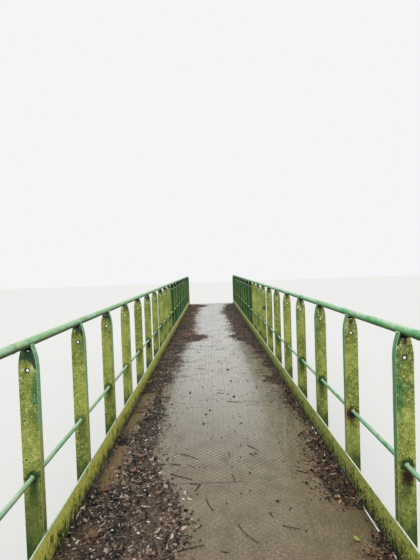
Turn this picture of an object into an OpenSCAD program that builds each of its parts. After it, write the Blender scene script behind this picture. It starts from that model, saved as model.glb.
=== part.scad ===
/* [Span] */
// Number of bays between the parapet posts, an even number
bays = 20; // [4:2:24]
// Distance from one post to the next
bay = 675; // [560:5:760]
// How far the deck and the beams run on past the end posts
overhang = 50; // [30:5:100]
// Height of the walking surface above the foot of the abutments
deck_z = 1800; // [1100:10:2400]

/* [Deck] */
// Clear width between the toe plates
clear_w = 1500; // [1100:10:1800]
// Thickness of the tread plates
tread_t = 6; // [5:1:10]
// Open slit between a tread plate's edge and the toe plate
tread_gap = 10; // [3:1:20]
// Open joint between two tread plates
tread_joint = 3; // [2:1:8]

/* [Main beams] */
// Depth of the rolled steel beams
beam_h = 305; // [250:5:360]
// Width of the beam flanges
beam_w = 124; // [100:2:150]
// Thickness of the beam web
beam_web = 8; // [7:1:12]
// Thickness of the beam flanges
beam_flange = 12; // [10:1:18]
// Root radius between web and flange
beam_root = 9; // [8:1:16]
// Clear slit between the beams' flange tips and the posts
beam_slit = 16; // [4:1:30]

/* [Cross bearers] */
// Depth of the channels that carry the tread plates
bearer_h = 102; // [76:1:152]
// Flange width of these channels
bearer_w = 51; // [38:1:64]
// Thickness of their webs and flanges
bearer_t = 7; // [5:1:9]

/* [Outrigger plates] */
// Thickness of the plates that join the posts to the beams
outrigger_t = 10; // [8:1:14]
// Corner cut off each outrigger plate
outrigger_snip = 45; // [20:5:60]

/* [Posts] */
// Width of the channel posts, across the bridge
post_w = 76; // [70:2:90]
// Depth of the channel flanges, along the bridge
post_d = 38; // [30:1:50]
// Thickness of post web and flanges
post_t = 6; // [5:1:7]
// Root radius inside the channel
post_root = 8; // [6:1:10]
// Radius to which the flange tips are bent in under the handrail
form_r = 310; // [300:5:340]
// Height over which the flange tips are bent
form_h = 109; // [100:1:112]
// Gap between the handrail and the lowest point of the web's rounded top
cope_gap = 16; // [12:1:34]
// Radius of that rounded cut
cope_r = 24; // [22:1:40]
// Diameter of the small hole near the top of each web
web_hole_d = 14; // [8:1:16]
// Height of that hole above the walking surface
web_hole_z = 865; // [800:1:870]

/* [Rails] */
// Outer diameter of the handrail tube
handrail_d = 38; // [33.7, 38, 42.4]
// Height of the handrail's centre above the walking surface
handrail_z = 980; // [950:5:1100]
// Wall of the handrail tube
handrail_wall = 3.2; // [2.6:0.1:4]
// Outer diameter of the middle rail
midrail_d = 21.3; // [21.3, 26.9]
// Height of the middle rail's centre above the walking surface
midrail_z = 405; // [300:1:600]
// Wall of the middle rail
midrail_wall = 2.6; // [2:0.1:3.2]
// Play of the middle rail in the holes of the posts, which it rests in
midrail_play = 3; // [1:0.5:4]
// Thickness of the discs that close the tubes
cap_t = 4; // [3:1:6]

/* [Toe plates] */
// Height of the flat bars along the foot of the posts
toe_h = 150; // [100:2:200]
// Thickness of these bars
toe_t = 6; // [5:1:10]
// Slit between the bars and the walking surface
toe_slit = 5; // [5:1:30]
// Post at which the left bars have their first joint
toe_first_left = 3; // [1:1:3]
// Post at which the right bars have their first joint
toe_first_right = 2; // [1:1:3]
// Bays covered by each of the other bars
toe_bays = 9; // [4:1:9]
// Open joint between two bars
toe_joint = 3; // [2:1:6]

/* [Abutments] */
// Width of the concrete abutments, across the bridge
abut_w = 1900; // [1900:10:2600]
// Length of the shelf that the beams stand on
shelf_l = 450; // [400:10:900]
// Thickness of the wall behind the beam ends
back_wall = 250; // [200:10:500]
// Gap between the beam ends and that wall
end_gap = 30; // [15:1:40]
// Chamfer along the top edges of the concrete
chamfer = 20; // [10:1:30]
// Height of the raised concrete pads under the beams
plinth_h = 60; // [40:5:90]
// Side of these pads, across and along the bridge
plinth_w = 300; // [250:10:330]
// Thickness of the bearing plates on the pads
bearing_t = 20; // [10:1:30]
// Side of the bearing plates
bearing_w = 180; // [160:10:220]

/* [Hidden] */
tread_bays = 2;
tread_count = bays / tread_bays;
middle = bays / 2;
half_span = bays * bay / 2;
half_deck = half_span + overhang;
toe_x = clear_w / 2;
post_in = toe_x + toe_t;
post_x = post_in + post_w / 2;
post_foot = -tread_t - beam_h + beam_flange;
tip_rise = 10;
post_top = handrail_z - handrail_d / 2 + tip_rise;
form_z = post_top - form_h;
midrail_hole_d = midrail_d + midrail_play;
beam_x = post_in - beam_slit - beam_w / 2;
beam_top = -tread_t;
beam_foot = beam_top - beam_h;
plinth_top = beam_foot - bearing_t;
shelf_z = plinth_top - plinth_h;
wall_y = half_deck + end_gap;
bearing_y = wall_y - shelf_l / 2;
tread_w = clear_w - 2 * tread_gap;
bearer_slack = 3;
root_clearance = 3;
cut = 1;
paint = "olivedrab";
rail_paint = "seagreen";
beam_paint = "darkolivegreen";
tread_colour = "rosybrown";
concrete = "lightgray";
$fn = 64;

function two_digits(n) = n < 10 ? str("0", n) : str(n);
post_names = [for (i = [0 : bays]) str("post_pair_", two_digits(i + 1))];
tread_names = [for (i = [1 : tread_count]) str("tread_plate_", two_digits(i))];

// Where the middle of post number i stands along the bridge
function station(i) = (i - middle) * bay;

// Extrudes an outline drawn in X and Z along the bridge, from y0 over the given length
module along(y0, length) {
    translate([0, y0 + length, 0])
        rotate([90, 0, 0])
            linear_extrude(length)
                children();
}

// Draws its children on the right of the bridge and mirrored on the left
module both_sides() {
    children();
    mirror([1, 0, 0])
        children();
}

// Draws its children as they are, or turned to face the other end of the bridge
module facing(far) {
    if (far)
        mirror([0, 1, 0])
            children();
    else
        children();
}

// Outline of a post seen along the bridge, drawn this much inside its outer faces
module post_outline(inset) {
    half = post_w / 2 - inset;
    bend_x = form_r - post_w / 2;
    translate([-half, post_foot - cut])
        square([2 * half, form_z - post_foot + cut]);
    intersection() {
        translate([-bend_x, form_z])
            circle(form_r - inset);
        translate([bend_x, form_z])
            circle(form_r - inset);
        translate([-half, form_z - cut])
            square([2 * half, form_h + 2 * cut]);
    }
}

// Section of the hollow between a post's flanges, with the root radius next to the web
module post_hollow() {
    inner_w = post_w - 2 * post_t;
    depth = post_d - post_t + cut;
    translate([-inner_w / 2, post_t + post_root])
        square([inner_w, depth - post_root]);
    translate([-inner_w / 2 + post_root, post_t])
        square([inner_w - 2 * post_root, depth]);
    for (side = [-1, 1])
        translate([side * (inner_w / 2 - post_root), post_t + post_root])
            circle(post_root);
}

// What is cut from a post's web under the handrail: a round hollow from flange to flange
module cope() {
    lowest = handrail_z - handrail_d / 2 - cope_gap;
    along(-cut, post_t + 2 * cut)
        intersection() {
            post_outline(post_t);
            union() {
                translate([0, lowest + cope_r])
                    circle(cope_r);
                translate([-cope_r, lowest + cope_r])
                    square([2 * cope_r, 2 * cope_r]);
            }
        }
}

// A round hole along the bridge at X = 0, right through the post
module drilling(d, z) {
    translate([0, -cut, z])
        rotate([-90, 0, 0])
            cylinder(h = post_d + 2 * cut, d = d);
}

// One channel post at X = 0, its web facing -Y, its flange tips bent in to carry the handrail
module post() {
    color(paint)
        difference() {
            intersection() {
                along(0, post_d)
                    post_outline(0);
                translate([-post_w / 2, 0, post_foot])
                    cube([post_w, post_d, post_top - post_foot]);
            }
            intersection() {
                along(post_t / 2, post_d)
                    post_outline(post_t);
                translate([0, 0, post_foot - cut])
                    linear_extrude(post_top - post_foot + 2 * cut)
                        post_hollow();
            }
            cope();
            drilling(handrail_d, handrail_z);
            drilling(midrail_hole_d, midrail_z + midrail_play / 2);
            drilling(web_hole_d, web_hole_z);
        }
}

// Post number i on both sides. Past the middle of the bridge the webs face the far end
module post_pair(i) {
    translate([0, station(i), 0])
        facing(i > middle)
            both_sides()
                translate([post_x, -post_d / 2, 0])
                    post();
}

// A tube along the bridge over the posts of one side, open at both ends
module tube(side, d, wall, z) {
    translate([side * post_x, -half_deck, z])
        rotate([-90, 0, 0])
            difference() {
                cylinder(h = 2 * half_deck, d = d);
                translate([0, 0, -cut])
                    cylinder(h = 2 * half_deck + 2 * cut, d = d - 2 * wall);
            }
}

module handrail(side) {
    color(rail_paint)
        tube(side, handrail_d, handrail_wall, handrail_z);
}

module midrail(side) {
    color(rail_paint)
        tube(side, midrail_d, midrail_wall, midrail_z);
}

// Discs welded over the open ends of the four tubes
module rail_end_caps() {
    color(rail_paint)
        both_sides()
            for (rail = [[handrail_d, handrail_z], [midrail_d, midrail_z]])
                for (y = [-half_deck - cap_t, half_deck])
                    translate([post_x, y, rail[1]])
                        rotate([-90, 0, 0])
                            cylinder(h = cap_t, d = rail[0]);
}

// The flat bars inside one row of posts, butted at the post called first and then every toe_bays
module toe_plates(side, first) {
    joints = [for (i = [first : toe_bays : bays - 1]) station(i)];
    starts = concat([-half_deck], [for (y = joints) y + toe_joint / 2]);
    ends = concat([for (y = joints) y - toe_joint / 2], [half_deck]);
    color(paint)
        for (i = [0 : len(starts) - 1])
            translate([side * (toe_x + toe_t / 2) - toe_t / 2, starts[i], toe_slit])
                cube([toe_t, ends[i] - starts[i], toe_h]);
}

// Tread plate number i, which spans tread_bays bays. The end ones run on over the overhang
module tread_plate(i) {
    first = i == 0;
    last = i == tread_count - 1;
    from = station(i * tread_bays) + (first ? -overhang : tread_joint / 2);
    to = station((i + 1) * tread_bays) + (last ? overhang : -tread_joint / 2);
    color(tread_colour)
        translate([-tread_w / 2, from, -tread_t])
            cube([tread_w, to - from, tread_t]);
}

// Outline of a main beam seen along the bridge, centred at X = 0 with its top at 0
module beam_outline() {
    difference() {
        translate([-beam_w / 2, -beam_h])
            square([beam_w, beam_h]);
        for (side = [0, 1])
            mirror([side, 0])
                beam_hollow();
    }
}

// What is missing between the flanges on one side of the web, with its root radii
module beam_hollow() {
    reach = (beam_w - beam_web) / 2 + cut;
    clear = beam_h - 2 * beam_flange;
    foot = -beam_h + beam_flange;
    translate([beam_web / 2 + beam_root, foot])
        square([reach - beam_root, clear]);
    translate([beam_web / 2, foot + beam_root])
        square([reach, clear - 2 * beam_root]);
    for (z = [foot + beam_root, foot + clear - beam_root])
        translate([beam_web / 2 + beam_root, z])
            circle(beam_root);
}

module main_beam(side) {
    color(beam_paint)
        along(-half_deck, 2 * half_deck)
            translate([side * beam_x, beam_top])
                beam_outline();
}

// Outline of an outrigger plate seen along the bridge: it stands between the beam's flanges, snipped
// round the root radii, and reaches from the beam's web out over the post's web
module outrigger_outline() {
    inner = beam_x + beam_web / 2;
    outer = post_in + post_w;
    top = beam_top - beam_flange;
    foot = beam_foot + beam_flange;
    snipe = beam_root + root_clearance;
    polygon([
        [inner + snipe, foot],
        [outer - outrigger_snip, foot],
        [outer, foot + outrigger_snip],
        [outer, top - outrigger_snip],
        [outer - outrigger_snip, top],
        [inner + snipe, top],
        [inner, top - snipe],
        [inner, foot + snipe]
    ]);
}

// The plates that carry the two rows of posts, one on the outer face of each post's web
module outrigger_plates() {
    color(beam_paint)
        both_sides()
            for (i = [0 : bays])
                translate([0, station(i), 0])
                    facing(i > middle)
                        along(-post_d / 2 - outrigger_t, outrigger_t)
                            outrigger_outline();
}

// Section of a cross bearer, drawn with its web on the left and its top at 0
module bearer_outline() {
    difference() {
        translate([0, -bearer_h])
            square([bearer_w, bearer_h]);
        translate([bearer_t, bearer_t - bearer_h])
            square([bearer_w, bearer_h - 2 * bearer_t]);
    }
}

// A channel from beam web to beam web, notched at both ends to pass under the beams' flanges
module cross_bearer() {
    length = 2 * beam_x - beam_web;
    notch_l = (beam_w - beam_web) / 2 + bearer_slack;
    notch_h = beam_flange + beam_root;
    difference() {
        translate([-length / 2, 0, beam_top])
            rotate([90, 0, 90])
                linear_extrude(length)
                    bearer_outline();
        both_sides()
            translate([length / 2 - notch_l, -cut, beam_top - notch_h])
                cube([notch_l + cut, bearer_w + 2 * cut, notch_h + cut]);
    }
}

// One bearer at every post: under each joint of the tread plates and halfway between two joints
module cross_bearers() {
    color(beam_paint)
        for (i = [0 : bays])
            translate([0, station(i) - bearer_w / 2, 0])
                cross_bearer();
}

// Side view of an abutment, drawn with its shelf towards 0 and its back wall away from it
module abutment_outline() {
    front = wall_y - shelf_l;
    back = wall_y + back_wall;
    polygon([
        [front, -deck_z],
        [back, -deck_z],
        [back, -chamfer],
        [back - chamfer, 0],
        [wall_y, 0],
        [wall_y, shelf_z],
        [front + chamfer, shelf_z],
        [front, shelf_z - chamfer]
    ]);
}

// A concrete abutment with a raised pad under each beam end
module abutment(near) {
    color(concrete)
        facing(near) {
            translate([-abut_w / 2, 0, 0])
                rotate([90, 0, 90])
                    linear_extrude(abut_w)
                        abutment_outline();
            both_sides()
                translate([beam_x - plinth_w / 2, bearing_y - plinth_w / 2, shelf_z - chamfer])
                    cube([plinth_w, plinth_w, plinth_h + chamfer]);
        }
}

module bearing_plates() {
    color("dimgray")
        both_sides()
            for (y = [-bearing_y, bearing_y])
                translate([beam_x - bearing_w / 2, y - bearing_w / 2, plinth_top])
                    cube([bearing_w, bearing_w, bearing_t]);
}

// Heights are drawn from the walking surface, and everything stands on the foot of the abutments
translate([0, 0, deck_z]) {
    abutment(true);  // abutment_near
    abutment(false);  // abutment_far
    bearing_plates();
    main_beam(-1);  // main_beam_left
    main_beam(1);  // main_beam_right
    outrigger_plates();
    cross_bearers();
    for (i = [0 : tread_count - 1])
        tread_plate(i);
    for (i = [0 : bays])
        post_pair(i);
    handrail(-1);  // handrail_left
    handrail(1);  // handrail_right
    midrail(-1);  // midrail_left
    midrail(1);  // midrail_right
    rail_end_caps();
    toe_plates(-1, toe_first_left);  // toe_plates_left
    toe_plates(1, toe_first_right);  // toe_plates_right
}
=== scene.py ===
import math
import random

import bmesh
import bpy
from mathutils import Matrix, Vector, noise


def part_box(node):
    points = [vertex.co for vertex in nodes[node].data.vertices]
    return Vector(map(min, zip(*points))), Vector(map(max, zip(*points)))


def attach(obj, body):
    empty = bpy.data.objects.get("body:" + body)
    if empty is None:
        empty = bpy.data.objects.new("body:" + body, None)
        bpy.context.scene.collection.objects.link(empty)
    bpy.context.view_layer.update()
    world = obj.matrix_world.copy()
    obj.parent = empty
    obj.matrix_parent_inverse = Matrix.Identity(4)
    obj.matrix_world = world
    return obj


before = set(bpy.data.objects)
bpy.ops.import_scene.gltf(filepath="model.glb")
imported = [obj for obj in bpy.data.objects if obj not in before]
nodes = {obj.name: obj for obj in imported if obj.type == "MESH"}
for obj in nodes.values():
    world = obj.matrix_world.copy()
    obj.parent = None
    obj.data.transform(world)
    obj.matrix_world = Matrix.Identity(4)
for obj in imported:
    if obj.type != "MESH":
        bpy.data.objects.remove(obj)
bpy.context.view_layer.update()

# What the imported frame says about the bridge, in metres
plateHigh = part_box("tread_plate_02")[1]
railLow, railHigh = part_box("handrail_right")
midLow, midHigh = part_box("midrail_right")
toeLow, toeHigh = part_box("toe_plates_right")
beamLow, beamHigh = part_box("main_beam_right")
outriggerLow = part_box("outrigger_plates")[0]
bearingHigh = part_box("bearing_plates")[1]
pairBoxes = [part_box(name) for name in sorted(nodes) if name.startswith("post_pair")]
deckZ = plateHigh.z
plateX = plateHigh.x
halfDeck = railHigh.y
postX = (railLow.x + railHigh.x) / 2
postHalf = postX - toeHigh.x
postHalfDepth = (pairBoxes[0][1].y - pairBoxes[0][0].y) / 2
stations = [(low.y + high.y) / 2 for low, high in pairBoxes]
bay = stations[1] - stations[0]
middlePost = len(stations) // 2
handrailZ = (railLow.z + railHigh.z) / 2
handrailRadius = (railHigh.z - railLow.z) / 2
midrailZ = (midLow.z + midHigh.z) / 2
beamX = (beamLow.x + beamHigh.x) / 2
bearingY = bearingHigh.y - (bearingHigh.x - beamX)
print("frame:", len(nodes), "nodes,", len(stations), "stations")


# Colours are given as seen on a screen, 0 to 255
def tone(red, green, blue):
    def linear(value):
        value /= 255
        return value / 12.92 if value <= 0.04045 else ((value + 0.055) / 1.055) ** 2.4
    return (linear(red), linear(green), linear(blue), 1)


# Sets or links one input of a node
def feed(target, value):
    if isinstance(value, Level):
        value = value.socket
    if isinstance(value, bpy.types.NodeSocket):
        target.id_data.links.new(value, target)
    else:
        target.default_value = value


def addNode(tree, kind, inputs=(), **settings):
    made = tree.nodes.new(kind)
    for key, value in settings.items():
        setattr(made, key, value)
    for socket, value in dict(inputs).items():
        feed(made.inputs[socket], value)
    return made


# A number that varies over a surface, open to plain arithmetic
class Level:

    def __init__(self, finish, socket):
        self.finish = finish
        self.socket = socket

    def __add__(self, other):
        return self.finish.math("ADD", self, other)

    def __sub__(self, other):
        return self.finish.math("SUBTRACT", self, other)

    def __rsub__(self, other):
        return self.finish.math("SUBTRACT", other, self)

    def __mul__(self, other):
        return self.finish.math("MULTIPLY", self, other)

    def __truediv__(self, other):
        return self.finish.math("DIVIDE", self, other)

    def __lt__(self, other):
        return self.finish.math("LESS_THAN", self, other)

    def __gt__(self, other):
        return self.finish.math("GREATER_THAN", self, other)

    def __abs__(self):
        return self.finish.math("ABSOLUTE", self)


# One material: colour and relief build up as layers are laid and pressed on it
class Finish:

    # The shader's inputs by shorter names
    shortNames = {"ior": "IOR", "shine": "Specular IOR Level", "film": "Coat Weight",
                  "filmRough": "Coat Roughness", "filmIor": "Coat IOR"}

    def __init__(self, name, look=None, **fixed):
        self.material = bpy.data.materials.new(name)
        self.material.use_nodes = True
        self.shader = self.material.node_tree.nodes["Principled BSDF"]
        self.look = look
        self.colour = None
        self.relief = None
        for key, value in fixed.items():
            self.shader.inputs[self.shortNames[key]].default_value = value
        self.place = self.node("ShaderNodeTexCoord").outputs["Object"]

    def node(self, kind, inputs=(), **settings):
        return addNode(self.material.node_tree, kind, inputs, **settings)

    def math(self, operation, *values):
        return Level(self, self.node("ShaderNodeMath", enumerate(values), operation=operation).outputs[0])

    def hypot(self, a, b):
        return self.math("SQRT", a * a + b * b)

    # Runs smoothly from one value to another while its input goes from low to high
    def band(self, value, low, high, start=0.0, end=1.0):
        wanted = {"Value": value, "From Min": low, "From Max": high, "To Min": start, "To Max": end}
        made = self.node("ShaderNodeMapRange", wanted, interpolation_type="SMOOTHSTEP")
        return Level(self, made.outputs[0])

    def either(self, most, *values):
        for value in values:
            most = self.math("MAXIMUM", most, value)
        return most

    def split(self, vector):
        return [Level(self, part) for part in self.node("ShaderNodeSeparateXYZ", {0: vector}).outputs]

    def normal(self):
        return self.split(self.node("ShaderNodeNewGeometry").outputs["Normal"])

    def island(self):
        return Level(self, self.node("ShaderNodeNewGeometry").outputs["Random Per Island"])

    def stretched(self, by, at):
        at = self.place if at is None else at
        if by is None:
            return at
        return self.node("ShaderNodeVectorMath", {0: at, 1: by}, operation="MULTIPLY").outputs[0]

    def noise(self, scale, detail=3.0, rough=0.55, by=None, at=None):
        wanted = {"Vector": self.stretched(by, at), "Scale": scale, "Detail": detail, "Roughness": rough}
        return Level(self, self.node("ShaderNodeTexNoise", wanted).outputs["Fac"])

    def cells(self, scale, by=None):
        wanted = {"Vector": self.stretched(by, None), "Scale": scale}
        return Level(self, self.node("ShaderNodeTexVoronoi", wanted).outputs["Distance"])

    # A colour is the name of one of the look's tones, three numbers or another node's colour
    def shade(self, colour):
        if isinstance(colour, str):
            colour = self.look[colour]
        return tone(*colour) if isinstance(colour, tuple) else colour

    def mix(self, factor, a, b, mode="MIX"):
        wanted = {"Factor": factor, 6: self.shade(a), 7: self.shade(b)}
        return self.node("ShaderNodeMix", wanted, data_type="RGBA", blend_type=mode).outputs[2]

    def ramp(self, value, stops):
        made = self.node("ShaderNodeValToRGB", {0: value})
        marks = made.color_ramp.elements
        while len(marks) < len(stops):
            marks.new(0.5)
        for mark, (position, colour) in zip(marks, stops):
            mark.position = position
            mark.color = self.shade(colour)
        return made.outputs[0]

    def lay(self, amount, over, mode="MIX"):
        self.colour = self.mix(amount, self.colour, over, mode)

    def press(self, height, depth, strength):
        made = self.node("ShaderNodeBump", {"Height": height, "Distance": depth, "Strength": strength})
        if self.relief is not None:
            feed(made.inputs["Normal"], self.relief)
        self.relief = made.outputs[0]

    def done(self, roughness):
        feed(self.shader.inputs["Base Color"], self.colour)
        feed(self.shader.inputs["Roughness"], roughness)
        if self.relief is not None:
            feed(self.shader.inputs["Normal"], self.relief)
        return self.material


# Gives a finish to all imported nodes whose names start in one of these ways
def coat(material, *starts):
    for name in nodes:
        if name.startswith(starts):
            for slot in nodes[name].material_slots:
                slot.material = material


def meshFrom(shape, name, smooth=False):
    mesh = bpy.data.meshes.new(name)
    shape.to_mesh(mesh)
    shape.free()
    for face in mesh.polygons:
        face.use_smooth = smooth
    return mesh


def addPiece(name, shape, material, smooth=False):
    mesh = meshFrom(shape, name, smooth) if isinstance(shape, bmesh.types.BMesh) else shape
    piece = bpy.data.objects.new(name, mesh)
    bpy.context.scene.collection.objects.link(piece)
    mesh.materials.append(material)
    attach(piece, "root")
    return piece


# The matrix that turns a shape about one axis, in degrees, and then moves it to its place
def placed(place, degrees=0, axis="Z"):
    return Matrix.Translation(place) @ Matrix.Rotation(math.radians(degrees), 4, axis)


def cone(shape, sides, bottom, top, tall):
    return bmesh.ops.create_cone(shape, cap_ends=True, segments=sides, radius1=bottom, radius2=top,
                                 depth=tall)["verts"]


# The edges that climb along Z, or those that lie level
def edgesAlong(shape, climbing=True):
    return [edge for edge in shape.edges
            if (abs(edge.verts[0].co.z - edge.verts[1].co.z) > 1e-6) == climbing]


# Turns the faces of a sheet so that they look up
def faceUp(shape):
    bmesh.ops.recalc_face_normals(shape, faces=shape.faces)
    if sum(face.normal.z for face in shape.faces) < 0:
        bmesh.ops.reverse_faces(shape, faces=shape.faces)


# Sizes of the raised pattern, which the deck's finish reads too
treadLook = {
    "studLength": 0.0235,
    "studWidth": 0.0068,
    "studHeight": 0.0016,
    "sunk": 0.0003,
    "square": 0.0435,
}


# The deck: wet steel plate with silt along its middle, painted paler there as a reflection of the sky on its
# wet film, and mud towards its sides
deckLook = {
    "ochre": (127, 109, 72),
    "darkOchre": (78, 67, 44),
    "warmMud": (120, 90, 64),
    "sideMud": (106, 91, 58),
    "farMud": (116, 104, 84),
    "bareMud": (136, 100, 50),
    "grey": (156, 149, 127),
    "silt": (190, 187, 173),
    "soffit": (46, 66, 44),
    "soffitPale": (82, 96, 66),
    "rust": (96, 54, 32),
    "fleck": (184, 168, 126),
    "speck": (42, 36, 28),
    "algae": (64, 60, 34),
    # The next two tones are the raised pattern's painted shade and dirt, then its painted highlight
    "stud": (46, 40, 30),
    "studTop": (226, 222, 206),
    "siltFrom": -5.35,
    "siltTo": -2.9,
    "siltHalfWidth": 0.42,
}


def paintDeck(name, raised):
    look = deckLook
    f = Finish(name, look, ior=1.5, shine=0.65, film=0.35, filmRough=0.06, filmIor=1.4)
    x, y = f.split(f.place)[:2]
    aside = abs(x)
    halfWidth = look["siltHalfWidth"]
    clouds = f.noise(1.7, 4, 0.6, (1, 0.45, 1))
    blotches = f.noise(9, 5, 0.65, (1, 0.7, 1))
    grain = f.noise(95, 4, 0.75)
    fine = f.noise(210, 2, 0.6)
    wander = clouds - 0.5
    f.colour = f.mix(f.band(blotches, 0.3, 0.75, 0.1, 0.75), "ochre", "darkOchre")
    warm = f.band(f.noise(3.1, 4, 0.6), 0.44, 0.62) * f.band(y, -3.9, -5.2)
    f.lay(warm * 0.65, "warmMud")
    # Mud at both sides, pale silt along the middle further on; the silt's grey and pale tones are partly a
    # painted reflection of the sky on the wet film
    frayed = f.noise(5, 5, 0.75, (1, 0.8, 1)) - 0.5
    inner = aside + (wander * 0.3 + frayed * 0.45)
    sides = f.band(inner, halfWidth - 0.14, halfWidth + 0.2)
    mud = sides * f.band(blotches, 0.25, 0.6)
    f.lay(mud * 0.75, f.mix(f.band(y, -4.6, -3.4), "sideMud", "farMud"))
    byToe = f.band(x, -0.6, -0.68) * f.band(blotches, 0.2, 0.5)
    f.lay(byToe * 0.85, "bareMud")
    reach = f.band(y + wander * 1.6, look["siltFrom"], look["siltTo"])
    track = reach * (1.0 - sides)
    f.lay(track * 0.8, "grey")
    f.lay(track * f.band(blotches, 0.15, 0.6) * f.band(y, -4.2, 0.5, 0.3, 1.0), "silt")
    # Grit, stronger off the silt than on it
    gritty = f.band(track, 0.0, 1.0, 0.75, 0.35)
    f.lay(f.band(grain, 0.5, 0.6) * gritty * 0.8, "darkOchre")
    f.lay(f.band(grain, 0.46, 0.38) * gritty * 0.6, "fleck")
    f.lay(f.band(fine, 0.56, 0.66) * gritty * 0.7, "speck")
    # The raised pattern, as the lit and the dark slopes of its studs: painted highlight on the lit slopes,
    # painted shade and dirt on the dark ones
    inPlate = f.math("WRAP", y, 2 * bay, 0.0)
    turns = 2 * math.pi / treadLook["square"]
    leaning = f.math("SINE", x * turns) * f.math("SINE", (inPlate - bay) * turns)
    middle = 1.0 - sides * 0.6
    shown = f.band(y, -5.6, -4.4, 0.08, 0.95) * f.band(blotches, 0.62, 0.42, 0.5, 1.0) * middle
    f.lay(f.band(f.math("SINE", x * turns), 0.0, 1.0) * shown * 0.3, "stud")
    f.lay(f.band(leaning, 0.3, 0.8) * shown, "stud")
    f.lay(f.band(leaning, -0.3, -0.8) * shown * 0.75, "studTop")
    # Specks, grains and blots of dirt, and strips of it along the sides
    specks = f.cells(75)
    thin = f.band(f.noise(6, 2), 0.4, 0.7)
    f.lay(f.band(specks, 0.25, 0.12) * thin * 0.9, "speck")
    grains = f.band(f.cells(42, (1, 0.7, 1)), 0.26, 0.16) * f.band(f.noise(5, 3), 0.42, 0.56) * reach
    f.lay(grains * 0.85, "speck")
    blots = f.band(f.cells(14, (1, 0.6, 1)), 0.24, 0.14) * f.band(f.noise(2.5, 3), 0.4, 0.5)
    blots = blots * f.band(y, -5.2, -3.6)
    f.lay(blots * 0.75, "speck")
    drift = f.noise(6, 4, 0.75, (0.8, 1, 1))
    strips = f.either(f.band(drift, 0.52, 0.6) * sides, f.band(drift, 0.585, 0.63, 0.0, 0.8))
    strips = strips * f.band(y, -4.6, -3.0)
    f.lay(strips * 0.8, "speck")
    # Joints between the plates, and algae at the outer edges
    fromJoint = f.math("PINGPONG", y, bay)
    atJoint = f.band(fromJoint, 0.009, 0.003)
    silted = f.band(x, 0.1, 0.2) * f.band(y, -5.0, -5.2) * 0.6
    f.lay(atJoint * 0.8, f.mix(silted, "speck", "fleck"))
    edge = f.band(aside, plateX - 0.05, plateX) * f.band(f.noise(3.0, 2), 0.4, 0.6)
    f.lay(edge * 0.8, "algae")
    ny, nz = f.normal()[1:]
    # Slopes of the studs that face the near end are darkened: painted shade
    if raised:
        f.lay(f.band(ny, 0.02, -0.12) * f.either(shown, 0.25), "stud")
    # The underside: old green paint, rusty near the joints
    beneath = f.band(nz, 0.5, 0.2)
    bare = f.mix(f.band(clouds, 0.4, 0.6), "soffit", "soffitPale")
    flaked = f.band(blotches + f.band(fromJoint, 0.12, 0.0, 0.0, 0.1), 0.55, 0.62)
    f.lay(beneath, f.mix(flaked, bare, f.mix(f.band(grain, 0.42, 0.58), "rust", "speck")))
    # A film of water on the silt, duller at the sides
    dry = f.band(blotches, 0.35, 0.65, 0.28, 0.5) + f.either(mud * 0.2, beneath * 0.3)
    wet = f.band(f.noise(20, 4, 0.7) + (grain - 0.5) * 0.3, 0.45, 0.62, 0.05, 0.3)
    film = track * (1.0 - beneath)
    roughness = wet * film + dry * (1.0 - film) + f.either(grains, blots, strips) * 0.4
    f.press(f.noise(30, 4, 0.6), 0.0012, 0.35)
    f.press(grain, 0.0012, 0.5)
    return f.done(roughness)


# The posts: green paint under yellow-green algae, darkest inside the channel, partly as painted shade, and at
# the foot
postLook = {
    "algae": (152, 160, 68),
    "paleAlgae": (190, 196, 112),
    "deepAlgae": (108, 120, 40),
    "speckle": (52, 78, 30),
    "paint": (82, 136, 80),
    "darkPaint": (38, 92, 50),
    # Bare paint inside the channel, darkened as painted shade
    "recess": (28, 62, 36),
    "moss": (34, 64, 18),
    "pit": (14, 18, 8),
    "flake": (216, 218, 168),
    "rust": (78, 44, 24),
    "rustCore": (30, 20, 14),
    # A painted highlight for the flanges' rims
    "edge": (226, 232, 204),
    "flange": (90, 158, 106),
    "paleFlange": (146, 204, 164),
    "lowFlange": (186, 192, 104),
    # Painted shade for the top of the web, just under the handrail
    "sheltered": (14, 60, 34),
    "thickness": 0.004,
    "tipWidth": 0.0075,
    "footHeight": 0.15,
    "ringRadius": 0.045,
    "holeHeight": 0.865,
}
# Rust spots: side, post counted from the near end, height, place across, radius
rustPlaces = [(1, 2, 0.39, -0.008, 0.04), (1, 1, 0.355, 0.002, 0.035), (1, 8, 0.62, 0.01, 0.03),
              (-1, 6, 0.35, 0.0, 0.03), (-1, 14, 0.38, 0.0, 0.035), (1, 17, 0.36, 0.0, 0.035)]


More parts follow.
